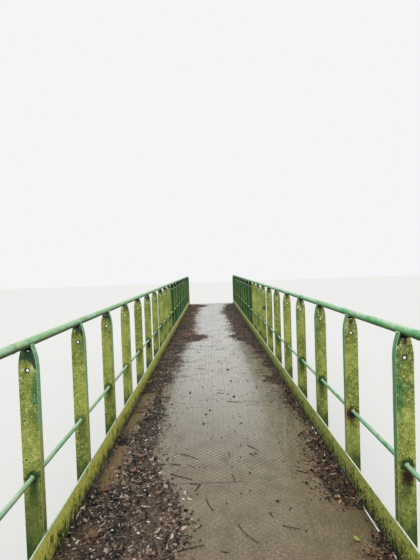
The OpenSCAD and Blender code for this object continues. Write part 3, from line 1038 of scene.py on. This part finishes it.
# Fine crumbs, only near the camera
def crumbAmount(side, x, y):
    patchy = max(0, 0.8 + 0.9 * noise.noise((x * 7, y * 7, 33)))
    return smooth(insideLitter(side, x, y), -0.03, 0.03) * patchy * smooth(y, -4.7, -5.2)


def bitAmount(side, x, y):
    return smooth(y, -6.0, -4.6) * (0.5 + max(0, noise.noise((x * 3, y * 2, 41))))


# Scatters copies of the templates over a field, turned and sized at random
def strew(name, field, things, look, material):
    piece = addPiece(name, field, material)
    tree = bpy.data.node_groups.new(name, "GeometryNodeTree")
    for way in ("INPUT", "OUTPUT"):
        tree.interface.new_socket("Geometry", in_out=way, socket_type="NodeSocketGeometry")
    tilt = look.get("tilt", litterLook["tilt"])
    seed = look["seed"]
    amount = addNode(tree, "GeometryNodeInputNamedAttribute", {"Name": "amount"})
    density = addNode(tree, "ShaderNodeMath", {0: amount.outputs[0], 1: look["density"]},
                      operation="MULTIPLY")
    points = addNode(tree, "GeometryNodeDistributePointsOnFaces", {
        "Mesh": tree.nodes.new("NodeGroupInput").outputs[0], "Density": density.outputs[0], "Seed": seed})
    kinds = tree.nodes.new("GeometryNodeJoinGeometry")
    for thing in things:
        source = addNode(tree, "GeometryNodeObjectInfo", {"Object": thing})
        wrapped = addNode(tree, "GeometryNodeGeometryToInstance", {"Geometry": source.outputs["Geometry"]})
        feed(kinds.inputs[0], wrapped.outputs[0])
    turned = addNode(tree, "FunctionNodeRandomValue", {
        0: (-tilt, -tilt, 0), 1: (tilt, tilt, 2 * math.pi), "Seed": seed + 1}, data_type="FLOAT_VECTOR")
    sized = addNode(tree, "FunctionNodeRandomValue", {
        0: look["small"], 1: look["large"], "Seed": seed + 2}, data_type="FLOAT_VECTOR")
    spread = addNode(tree, "GeometryNodeInstanceOnPoints", {
        "Points": points.outputs["Points"], "Instance": kinds.outputs[0], "Pick Instance": True,
        "Rotation": turned.outputs[0], "Scale": sized.outputs[0]})
    real = addNode(tree, "GeometryNodeRealizeInstances", {"Geometry": spread.outputs[0]})
    addNode(tree, "NodeGroupOutput", {0: real.outputs[0]})
    piece.modifiers.new("strewn", "NODES").node_group = tree


# Tones of the litter by the piece's own random number; the near-white top of the chips' tones is a painted
# glint
chipTonesAndGlints = [(0.0, (10, 8, 7)), (0.38, (30, 23, 19)), (0.48, (96, 78, 65)), (0.68, (142, 120, 102)),
               (0.88, (178, 150, 126)), (0.97, (204, 188, 168)), (0.992, (244, 244, 238))]
leafColours = [(0.0, (10, 8, 7)), (0.38, (27, 20, 17)), (0.48, (98, 77, 65)), (0.7, (150, 124, 106)),
               (0.88, (196, 168, 148)), (0.98, (226, 212, 198))]
curlColours = [(0.0, (92, 72, 58)), (0.35, (150, 128, 106)), (0.7, (200, 190, 172)), (0.95, (226, 224, 214))]
stemColours = [(0.0, (30, 23, 20)), (0.55, (70, 52, 42)), (0.85, (118, 92, 70)), (1.0, (160, 140, 112))]


def paintLitter(name, colours, roughness):
    f = Finish(name, ior=1.42, shine=0.5, film=0.35, filmRough=0.18)
    fine = f.noise(160, 3, 0.6)
    x, y = f.split(f.place)[:2]
    f.colour = f.ramp(f.island(), colours)
    f.lay(f.band(fine, 0.5, 0.75) * 0.5, colours[0][1])
    red = f.either(f.band(x, 0.1, 0.3, 0.0, 0.55), f.band(y, -4.8, -3.4, 0.0, 0.3),
                   f.band(y, -1.8, 0.2, 0.0, 0.85))
    f.lay(red, (255, 210, 152), "MULTIPLY")
    f.lay(f.band(x, 0.1, 0.45), (210, 202, 192), "MULTIPLY")
    shaded = f.band(f.noise(6, 3, 0.7, (0.4, 1, 1)), 0.46, 0.58) * f.band(y, -5.2, -3.8, 0.3, 1.0)
    f.lay(shaded, (120, 112, 108), "MULTIPLY")
    f.press(fine, 0.001, 0.5)
    return f.done(f.band(fine, 0.3, 0.7, roughness, roughness + 0.3))


chipSkin = paintLitter("leafFragments", chipTonesAndGlints, 0.3)
leafSkin = paintLitter("fallenLeaves", leafColours, 0.4)
curlSkin = paintLitter("curledLeaves", curlColours, 0.45)
stemSkin = paintLitter("stalks", stemColours, 0.45)
chips = templates("chip", chipSkin, [chipShape(0.02, 0.3, n) for n in range(5)])
shards = templates("shard", chipSkin, [shardShape(0.03, lean) for lean in (0.0, 0.3, 0.55)])
leafSizes = ((0.05, 0.028, 0.12, 0.25), (0.042, 0.03, 0.2, 0.4), (0.06, 0.026, 0.08, 0.3),
             (0.034, 0.026, 0.25, 0.1))
leaves = templates("leaf", leafSkin, [leafShape(*size, n, 4) for n, size in enumerate(leafSizes)])
curlSizes = ((0.046, 0.009, 0.12, 0.9), (0.034, 0.011, 0.2, 0.7), (0.028, 0.014, 0.25, 0.5))
curls = templates("curl", curlSkin, [leafShape(*size, n + 9, 4) for n, size in enumerate(curlSizes)])
flakes = templates("flake", leafSkin, [shardShape(0.045, lean) for lean in (0.05, 0.35)])
crumbs = templates("crumb", chipSkin, [shardShape(0.012, lean) for lean in (0.0, 0.4)])
bits = templates("bit", stemSkin, [chipShape(0.018, 0.45, n + 7) for n in range(3)])
stemSizes = ((0.085, 0.0026, 0.05), (0.06, 0.0032, 0.12), (0.11, 0.0024, 0.03))
stems = templates("stem", stemSkin, [stemShape(*size) for size in stemSizes])
strewn = [("chips", chipAmount, chips, chipSkin), ("shards", chipAmount, shards, chipSkin),
          ("leaves", leafAmount, leaves, leafSkin), ("curls", leafAmount, curls, curlSkin),
          ("stems", stemAmount, stems, stemSkin), ("flakes", flakeAmount, flakes, leafSkin),
          ("fineCrumbs", crumbAmount, crumbs, chipSkin), ("bits", bitAmount, bits, stemSkin)]
for side, word in ((-1, "Left"), (1, "Right")):
    for name, amount, things, skin in strewn:
        strew(name + word, litterField(side, amount), things, litterLook[name], skin)
print("litter: done")


# Twigs and stalks that lie on the bare steel, each a run of places (across, along)
twigRuns = [
    [(0.162, -4.86), (0.170, -4.90), (0.160, -4.93)], [(0.21, -4.90), (0.245, -4.93), (0.27, -4.98)],
    [(0.215, -5.02), (0.225, -5.055), (0.255, -5.06), (0.27, -5.03), (0.24, -5.015)],
    [(0.07, -4.99), (0.078, -5.03), (0.08, -5.08)], [(-0.26, -5.0), (-0.20, -5.035), (-0.13, -5.09)],
    [(-0.20, -5.17), (-0.175, -5.185), (-0.15, -5.21)], [(0.08, -5.31), (0.092, -5.35), (0.094, -5.41)],
    [(0.48, -5.29), (0.53, -5.315), (0.58, -5.37)], [(-0.17, -5.40), (-0.14, -5.42), (-0.115, -5.42)],
    [(-0.11, -5.42), (-0.128, -5.455), (-0.14, -5.49)], [(-0.076, -5.57), (-0.066, -5.63), (-0.036, -5.69)],
    [(0.086, -5.81), (0.098, -5.86), (0.12, -5.90), (0.17, -5.96)], [(0.37, -5.68), (0.356, -5.71)],
    [(-0.20, -6.0), (-0.16, -5.98), (-0.08, -5.96)], [(-0.30, -5.28), (-0.22, -5.33), (-0.16, -5.36)],
    [(-0.30, -5.15), (-0.245, -5.165)], [(-0.22, -5.80), (-0.13, -5.79)],
    [(0.30, -5.83), (0.34, -5.86), (0.38, -5.865)], [(0.255, -5.72), (0.262, -5.76)],
    [(-0.43, -2.2), (-0.34, -2.15), (-0.24, -2.16)], [(-0.42, -1.2), (-0.30, -1.25)],
    [(0.10, -3.9), (0.17, -3.93), (0.25, -3.94)], [(0.02, -3.62), (0.09, -3.66)],
]
# Crumbs of dirt on the bare steel (across, along)
lumpPlaces = [(0.13, -5.14), (0.15, -5.08), (0.19, -5.30), (0.50, -5.25), (-0.12, -5.21), (0.136, -4.64),
              (0.18, -3.2), (0.36, -3.2), (-0.135, -3.4), (-0.255, -3.6), (-0.45, -3.73), (-0.41, -3.945),
              (0.18, -3.77), (-0.105, -4.46), (-0.09, -4.24), (0.2, -4.47), (0.43, -3.49), (0.165, -2.69),
              (-0.02, -2.72), (0.47, -5.32), (0.52, -5.50), (0.57, -4.95), (-0.30, -5.08), (0.31, -5.62),
              (0.12, -5.53), (-0.055, -4.14), (0.4, -4.2), (0.05, -2.2), (0.3, -1.7), (-0.2, -1.1),
              (0.12, -0.6), (-0.05, 0.4), (0.2, 1.2)]
twigLook = {"radius": 0.0027, "sizes": (0.7, 1.25), "taper": 0.5, "endLift": 0.0027, "lift": 0.0048, "seed": 31}
crumbLook = {"size": 0.012, "sizes": (0.7, 1.3), "further": 0.8, "stretch": (0.6, 1.6), "flat": 0.5,
             "lift": 0.18, "rough": 0.35, "grain": 130, "seed": 8}


def addTwigs():
    look = twigLook
    chance = random.Random(look["seed"])
    line = bpy.data.curves.new("twigs", "CURVE")
    line.dimensions = "3D"
    line.bevel_depth = look["radius"]
    line.bevel_resolution = 1
    line.use_fill_caps = True
    for run in twigRuns:
        spline = line.splines.new("NURBS")
        spline.points.add(len(run) - 1)
        spline.order_u = min(3, len(run))
        spline.use_endpoint_u = True
        spline.resolution_u = 4
        thick = chance.uniform(*look["sizes"])
        for number, (x, y) in enumerate(run):
            lift = look["lift" if 0 < number < len(run) - 1 else "endLift"]
            spline.points[number].co = (x, y, deckZ + lift, 1)
            spline.points[number].radius = thick * (1 - look["taper"] * number / len(run))
    addPiece("twigs", line, twigSkin)


# Adds one rough lump to a shape
def addLump(shape, size, look, offset):
    lump = bmesh.ops.create_icosphere(shape, subdivisions=2, radius=size / 2)["verts"]
    for vert in lump:
        vert.co *= 1 + look["rough"] * noise.noise(vert.co * look["grain"] + offset)
    return lump


def addLumps():
    look = crumbLook
    chance = random.Random(look["seed"])
    shape = bmesh.new()
    for x, y in lumpPlaces:
        growth = 1 + look["further"] * smooth(y, -5.0, -3.6)
        size = look["size"] * chance.uniform(*look["sizes"]) * growth
        lump = addLump(shape, size, look, Vector((x, y, 0)) * 50)
        bmesh.ops.scale(shape, vec=(1, chance.uniform(*look["stretch"]), look["flat"]), verts=lump)
        turn = Matrix.Rotation(chance.uniform(0, math.pi), 4, "Z")
        place = Matrix.Translation((x, y, deckZ + size * look["lift"]))
        bmesh.ops.transform(shape, matrix=place @ turn, verts=lump)
    addPiece("crumbs", shape, twigSkin, smooth=True)


singleLook = {"curl": 0.08, "curlStep": 0.05, "fold": 0.35, "low": 0.001, "clear": 0.004}
# Leaves that stand out: across, along, length, turn in degrees
leafGroups = {
    "tanLeaves": {"colour": (158, 112, 82), "vein": (104, 72, 52), "width": 0.55,
                  "places": [(-0.514, -5.03, 0.07, 20), (-0.536, -5.24, 0.062, 75),
                             (-0.61, -5.88, 0.075, 130), (-0.655, -5.46, 0.06, 15), (-0.34, -5.51, 0.05, 60),
                             (-0.40, -6.08, 0.06, 100), (-0.5, -5.62, 0.045, 40), (0.66, -5.3, 0.05, 30),
                             (0.64, -6.05, 0.05, 80), (-0.6, -4.3, 0.05, 10), (-0.56, -3.3, 0.055, 70),
                             (0.65, -4.95, 0.04, 150)]},
    # Thin pale slivers: painted highlights standing for the glint on wet, curled leaf edges
    "paleLeaves": {"colour": (206, 196, 176), "vein": (160, 140, 110), "width": 0.24,
                   "places": [(-0.544, -5.44, 0.05, 30), (-0.40, -5.65, 0.05, -10), (-0.31, -5.87, 0.06, 60),
                              (-0.49, -4.72, 0.04, 20), (-0.62, -4.78, 0.05, 100), (0.70, -5.12, 0.05, 80),
                              (0.68, -5.37, 0.045, 20), (0.70, -4.85, 0.04, 120), (-0.59, -5.80, 0.04, 60),
                              (-0.36, -4.95, 0.035, 0), (-0.46, -5.30, 0.035, 40), (-0.25, -5.98, 0.04, 90)]},
    "greenLeaves": {"colour": (172, 190, 92), "vein": (120, 140, 60), "width": 0.5,
                    "places": [(0.676, -5.19, 0.035, 40), (0.62, -5.96, 0.045, 110), (-0.3, 2.1, 0.05, 0)]},
}


def addLeaves(name, group):
    look = singleLook
    f = Finish(name, ior=1.42, shine=0.5, film=0.3, filmRough=0.2)
    fine = f.noise(120, 4, 0.65)
    f.colour = f.mix(f.band(f.island(), 0.2, 1.0, 0.0, 0.6), group["colour"], group["vein"])
    f.lay(f.band(fine, 0.4, 0.6), group["vein"])
    f.press(fine, 0.0015, 0.6)
    skin = f.done(f.band(fine, 0.3, 0.7, 0.35, 0.6))
    whole = bpy.data.meshes.new(name)
    shape = bmesh.new()
    for number, (x, y, length, turn) in enumerate(group["places"]):
        curl = look["curl"] + look["curlStep"] * (number % 3)
        leaf = leafShape(length, length * group["width"], curl, look["fold"], number + 20)
        bottom = min(vert.co.z for vert in leaf.verts)
        ground = deckZ + max(look["low"], soilHeight(-1 if x < 0 else 1, x, y)) + look["clear"]
        leaf.transform(placed((x, y, ground - bottom), turn))
        leaf.to_mesh(whole)
        leaf.free()
        shape.from_mesh(whole)
    addPiece(name, shape, skin, smooth=True)


twigSkin = paintLitter("twigBark", [(0.0, (14, 10, 9)), (0.6, (34, 24, 19)), (1.0, (64, 46, 36))], 0.6)
addTwigs()
addLumps()
for groupName, group in leafGroups.items():
    addLeaves(groupName, group)
print("twigs, crumbs and single leaves: done")


# One shape that holds a copy of another at each of these places
def repeated(shape, places):
    single = meshFrom(shape, "single")
    whole = bmesh.new()
    for place in places:
        before = len(whole.verts)
        whole.from_mesh(single)
        whole.verts.ensure_lookup_table()
        bmesh.ops.transform(whole, matrix=place, verts=whole.verts[before:])
    bpy.data.meshes.remove(single)
    return whole


# A round or six-sided disc along Z between two heights, its rims slightly rounded
def disc(width, start, end, sides, bevel, steps=1):
    radius = width / 2 / (math.cos(math.pi / sides) if sides == 6 else 1)
    shape = bmesh.new()
    cone(shape, sides, radius, radius, end - start)
    rims = edgesAlong(shape, False)
    bmesh.ops.bevel(shape, geom=rims, offset=bevel, offset_type="OFFSET", segments=steps, profile=0.5,
                    affect="EDGES", material=-1)
    bmesh.ops.translate(shape, vec=(0, 0, (start + end) / 2), verts=shape.verts)
    return shape


def joined(shapes):
    whole = bmesh.new()
    for shape in shapes:
        single = meshFrom(shape, "single")
        whole.from_mesh(single)
        bpy.data.meshes.remove(single)
    return whole


# Fasteners: hexagon head, washers, nut and thread end, with the grip from 0 up along Z
boltLook = {
    "across": 0.024,
    "head": 0.010,
    "nut": 0.013,
    "washer": 0.030,
    "washerThick": 0.003,
    "stub": 0.016,
    "stubLength": 0.009,
    "bevel": 0.0011,
    "rows": (-0.07, -0.23),
    "web": 0.006,
    "anchorSpread": (0.047, 0.062),
    "beamFlange": 0.012,
}


def boltShape(grip, headed=True):
    look = boltLook
    rim, washer, thick = look["bevel"], look["washer"], look["washerThick"]
    outer = grip + thick
    top = outer + look["nut"]
    parts = [disc(washer, grip, outer, 16, rim), disc(look["across"], outer, top, 6, rim),
             disc(look["stub"], top, top + look["stubLength"], 12, rim)]
    if headed:
        parts += [disc(washer, -thick, 0, 16, rim),
                  disc(look["across"], -thick - look["head"], -thick, 6, rim)]
    return joined(parts)


def addBolts():
    look = boltLook
    plate = stations[0] - postHalfDepth - outriggerLow.y
    places = []
    for number, y in enumerate(stations):
        toward = 1 if number > middlePost else -1
        face = y + toward * (postHalfDepth + plate)
        places += [placed((side * postX, face, deckZ + drop), 90 * toward, "X")
                   for side in (-1, 1) for drop in look["rows"]]
    addPiece("postBolts", repeated(boltShape(plate + look["web"]), places), rustyBolts)
    spreadX, spreadY = look["anchorSpread"]
    flangeTop = beamLow.z + look["beamFlange"]
    anchors = [placed((side * beamX + right * spreadX, end * bearingY + far * spreadY, flangeTop))
               for side in (-1, 1) for end in (-1, 1) for right in (-1, 1) for far in (-1, 1)]
    addPiece("anchorNuts", repeated(boltShape(0, False), anchors), rustyBolts)


def paintBolts():
    f = Finish("rustyBolts", ior=1.5, shine=0.5)
    fine = f.noise(140, 4, 0.7)
    broad = f.noise(24, 3)
    f.colour = f.ramp(fine, [(0.3, (70, 44, 32)), (0.5, (104, 74, 54)), (0.72, (128, 118, 98))])
    f.lay(f.band(broad, 0.5, 0.62), (84, 98, 52))
    f.press(fine, 0.0008, 0.6)
    return f.done(f.band(fine, 0.3, 0.7, 0.5, 0.8))


rustyBolts = paintBolts()
addBolts()


# Weld beads: overlapping round ripples, drawn along Y
weldLook = {
    "radius": 0.0042,
    "ripple": 0.22,
    "pitch": 0.0045,
    "uneven": 0.35,
    "grain": 160,
    "rings": 9,
    "sides": 8,
    "endSize": 0.45,
    "setBack": 0.001,
    "tipReach": 0.97,
    "tipRise": 0.0095,
    "footSize": 0.75,
}


def beadShape(radius, length, seed):
    look = weldLook
    shape = bmesh.new()
    cone(shape, look["sides"], radius, radius, length)
    bmesh.ops.subdivide_edges(shape, edges=edgesAlong(shape), cuts=look["rings"])
    for vert in shape.verts:
        swell = 1 + look["ripple"] * math.sin(vert.co.z / look["pitch"] * math.pi)
        swell += look["uneven"] * noise.noise(vert.co * look["grain"] + Vector((seed, 0, 0)))
        if abs(vert.co.z) > length / 2 - 1e-5:
            swell *= look["endSize"]
        vert.co.x *= swell
        vert.co.y *= swell
    turn = Matrix.Rotation(math.radians(90), 3, "X")
    bmesh.ops.rotate(shape, cent=(0, 0, 0), matrix=turn, verts=shape.verts)
    return shape


def addWelds():
    look = weldLook
    length = 2 * (postHalfDepth - look["setBack"])
    tipX = handrailRadius * look["tipReach"]
    tipZ = handrailZ - handrailRadius + look["tipRise"]
    tips = [placed((side * postX + hand * tipX, y, tipZ))
            for y in stations for side in (-1, 1) for hand in (-1, 1)]
    feet = [placed((side * (toeHigh.x - look["setBack"]), y, toeHigh.z + look["setBack"]))
            for y in stations for side in (-1, 1)]
    both = joined([repeated(beadShape(look["radius"], length, 3), tips),
                   repeated(beadShape(look["radius"] * look["footSize"], length, 8), feet)])
    addPiece("weldBeads", both, weldPaint, True)


# Swollen rings at the handrails' joints, ground flush on top
def addRailJoints():
    look = ringLook
    width = 2 * (handrailRadius + look["proud"])
    for side, railName, slotName in ((-1, "handrail_left", "left_handrail_paint"),
                                     (1, "handrail_right", "right_handrail_paint")):
        ring = disc(width, -look["length"] / 2, look["length"] / 2, look["facets"], look["bevel"], 3)
        rings = repeated(ring, [placed((side * postX, y, handrailZ), 90, "X") for y in look["places"]])
        for vert in rings.verts:
            vert.co.z = min(vert.co.z, railHigh.z)
        addPiece(railName.replace("handrail", "railJoints"), rings, railPaints[railName], True)


def paintWelds():
    f = Finish("paintedWelds", ior=1.45, shine=0.4)
    fine = f.noise(120, 4, 0.7)
    f.colour = f.ramp(fine, [(0.28, (70, 110, 66)), (0.5, (150, 190, 150)), (0.7, (212, 226, 200))])
    f.press(fine, 0.0008, 0.5)
    return f.done(f.band(fine, 0.3, 0.7, 0.45, 0.7))


# Moss and dirt that has settled in the gap between post and handrail, more of it on some posts; the dark clumps
# also stand in for the shade in that gap
mossAndShadeLook = {"size": 0.018, "sizes": (0.6, 1.1), "lumps": 8, "fullness": (0.6, 0.8, 1), "drop": 0.007,
            "spread": (0.009, 0.012, 0.004), "rough": 0.5, "grain": 190, "seed": 19}


def addMossAndShade():
    look = mossAndShadeLook
    chance = random.Random(look["seed"])
    shape = bmesh.new()
    for y in stations:
        for side in (-1, 1):
            fullness = 1 if side < 0 and y < -4 else chance.choice(look["fullness"])
            for number in range(round(look["lumps"] * fullness)):
                size = look["size"] * chance.uniform(*look["sizes"])
                lump = addLump(shape, size, look, Vector((number, y * 9, side)) * 3)
                place = Vector((side * postX, y, handrailZ - handrailRadius - look["drop"]))
                place += Vector([chance.uniform(-1, 1) * reach for reach in look["spread"]])
                bmesh.ops.translate(shape, vec=place, verts=lump)
    addPiece("mossClumps", shape, mossAndShadeSkin, smooth=True)


mossAndShadeColours = [(0.0, (14, 30, 14)), (0.5, (26, 54, 24)), (0.9, (48, 72, 30)), (1.0, (70, 84, 36))]
mossAndShadeSkin = paintLitter("darkMossAndShade", mossAndShadeColours, 0.7)
addMossAndShade()
weldPaint = paintWelds()
addWelds()
addRailJoints()
print("bolts and welds: done")


# Stage: a plain pale floor, soft light from all round and a wide sun
stageLook = {
    "floorSize": 160.0,
    "floorColour": (0.80, 0.80, 0.78, 1),
    "skySeen": (0.90, 0.91, 0.92, 1),
    "skyLight": 0.70,
    "sunStrength": 1.5,
    "sunAngle": math.radians(50),
    "sunTurn": (math.radians(38), math.radians(-12), 0),
}


def buildStage():
    look = stageLook
    ground = bmesh.new()
    bmesh.ops.create_grid(ground, x_segments=1, y_segments=1, size=look["floorSize"] / 2)
    floor = bpy.data.objects.new("stageFloor", meshFrom(ground, "stageFloor"))
    bpy.context.scene.collection.objects.link(floor)
    paper = Finish("stageFloor", shine=0.0)
    paper.colour = look["floorColour"]
    floor.data.materials.append(paper.done(0.9))
    world = bpy.data.worlds.new("softStudio")
    world.use_nodes = True
    tree = world.node_tree
    tree.nodes.clear()
    seen = addNode(tree, "ShaderNodeBackground", {"Color": look["skySeen"], "Strength": 1.0})
    light = addNode(tree, "ShaderNodeBackground", {"Color": (1, 1, 1, 1), "Strength": look["skyLight"]})
    rays = tree.nodes.new("ShaderNodeLightPath").outputs
    clear = rays["Is Camera Ray"]
    for ray in ("Is Glossy Ray", "Is Transmission Ray"):
        clear = addNode(tree, "ShaderNodeMath", {0: clear, 1: rays[ray]}, operation="MAXIMUM").outputs[0]
    blend = addNode(tree, "ShaderNodeMixShader", {0: clear, 1: light.outputs[0], 2: seen.outputs[0]})
    addNode(tree, "ShaderNodeOutputWorld", {"Surface": blend.outputs[0]})
    bpy.context.scene.world = world
    sun = bpy.data.lights.new("wideSun", "SUN")
    sun.energy = look["sunStrength"]
    sun.angle = look["sunAngle"]
    sunObject = bpy.data.objects.new("wideSun", sun)
    sunObject.rotation_euler = look["sunTurn"]
    bpy.context.scene.collection.objects.link(sunObject)


# Camera: over the near end on the deck's centre line, with the view of the photo
viewpoint = {
    "place": (-0.0116, -7.852, 3.072),
    "heading": math.radians(0.046),
    "tilt": math.radians(1.70),
    "roll": math.radians(-1.96),
    "lens": 27.06,
    "sensor": 36,
    "nearest": 0.02,
    "furthest": 500,
}


def buildCamera():
    look = viewpoint
    lens = bpy.data.cameras.new("deckView")
    lens.sensor_width = look["sensor"]
    lens.lens = look["lens"]
    lens.clip_start = look["nearest"]
    lens.clip_end = look["furthest"]
    camera = bpy.data.objects.new("deckView", lens)
    turn = (Matrix.Rotation(look["heading"], 4, "Z")
            @ Matrix.Rotation(math.radians(90) - look["tilt"], 4, "X")
            @ Matrix.Rotation(look["roll"], 4, "Z"))
    camera.matrix_world = Matrix.Translation(look["place"]) @ turn
    bpy.context.scene.collection.objects.link(camera)
    bpy.context.scene.camera = camera


buildStage()
buildCamera()
bpy.context.scene.view_settings.view_transform = "Standard"
print("stage, light and camera: done")
